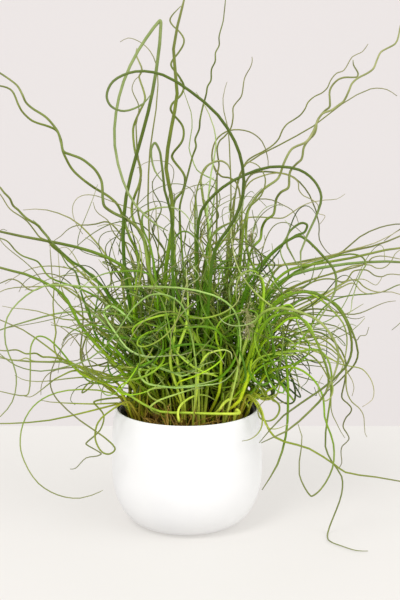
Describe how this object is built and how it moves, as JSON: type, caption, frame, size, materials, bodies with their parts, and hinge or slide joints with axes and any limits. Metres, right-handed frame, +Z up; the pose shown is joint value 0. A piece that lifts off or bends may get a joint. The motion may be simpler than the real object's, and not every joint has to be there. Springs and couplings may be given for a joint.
{
  "type": "potted corkscrew rush",
  "caption": "Rush plant with long coiling and wavy leafless stems, rooted in a dark growing pot inside a round white cover pot.",
  "frame": {"origin": "centre of the cover pot's flat underside, on the table", "axes": "+Z up along the pot's axis; -Y towards the viewer of the picture; +X to that viewer's right"},
  "size_m": [0.4861, 0.3216, 0.5232],
  "materials": {
    "cover_pot": "satin white glaze",
    "growing_pot": "dark plastic",
    "potting_soil": "damp peat",
    "stem_dark": "satin dark green stem",
    "stem_green": "satin mid green stem",
    "stem_lime": "satin yellow-green stem",
    "stem_pale": "satin pale green stem",
    "stem_dusky": "satin grey-green stem",
    "flower_head": "dry brown spikelets"
  },
  "bodies": {
    "root": {"cover_pot": "cover_pot", "growing_pot": "growing_pot", "potting_soil": "potting_soil", "stem_tall_fold": "stem_dark", "stem_wavy_left_of_centre": "stem_green", "stem_big_loop": "stem_dark", "stem_tallest": "stem_green", "stem_sine_centre": "stem_green", "stem_hook_centre": "stem_dark", "stem_crinkled_tall": "stem_green", "stem_crinkled_short": "stem_dusky", "stem_ring_right_of_centre": "stem_dusky", "stem_high_arch_right": "stem_dark", "stem_low_arch_right": "stem_dusky", "stem_small_loop_right": "stem_green", "stem_thin_wavy_right": "stem_dusky", "stem_thin_straight_right": "stem_dusky", "stem_wavy_right": "stem_green", "stem_wavy_right_long": "stem_lime", "stem_wavy_left_upper": "stem_lime", "stem_wavy_left": "stem_green", "stem_left_wavy_high": "stem_dusky", "stem_left_wavy_middle": "stem_green", "stem_left_thick": "stem_green", "stem_left_wavy_low": "stem_green", "stem_left_diagonal": "stem_green", "stem_left_low_wave": "stem_dusky", "stem_left_circle": "stem_pale", "stem_left_hook": "stem_green", "stem_left_sagging": "stem_pale", "stem_left_rising": "stem_dusky", "stem_left_level_wave": "stem_dusky", "stem_left_front_arch": "stem_pale", "stem_left_hanging_loop": "stem_dusky", "stem_left_great_sweep": "stem_green", "stem_left_thin_level": "stem_dusky", "stem_left_folded_tip": "stem_dusky", "stem_left_small_hook": "stem_dusky", "stem_right_high": "stem_dusky", "stem_right_folded_back": "stem_dusky", "stem_right_bright": "stem_pale", "stem_right_level": "stem_green", "stem_right_wavy_low": "stem_dusky", "stem_right_pointed_arch": "stem_dark", "stem_right_knot": "stem_dark", "stem_right_great_arch": "stem_green", "stem_right_inner_arch": "stem_green", "stem_right_bright_arch": "stem_lime", "stem_right_outer_arch": "stem_green", "stem_right_drooping": "stem_green", "stem_right_low_level": "stem_dusky", "stem_right_trailing": "stem_lime", "stem_right_u_fold": "stem_green", "stem_right_wavy_drop": "stem_dusky", "stem_rim_hook": "stem_dusky", "stem_across_mouth": "stem_lime", "stem_yellow_green": "stem_lime", "flower_head_drooping": "flower_head", "flower_head_upper": "flower_head", "flower_head_right": "flower_head"}
  },
  "joints": []
}
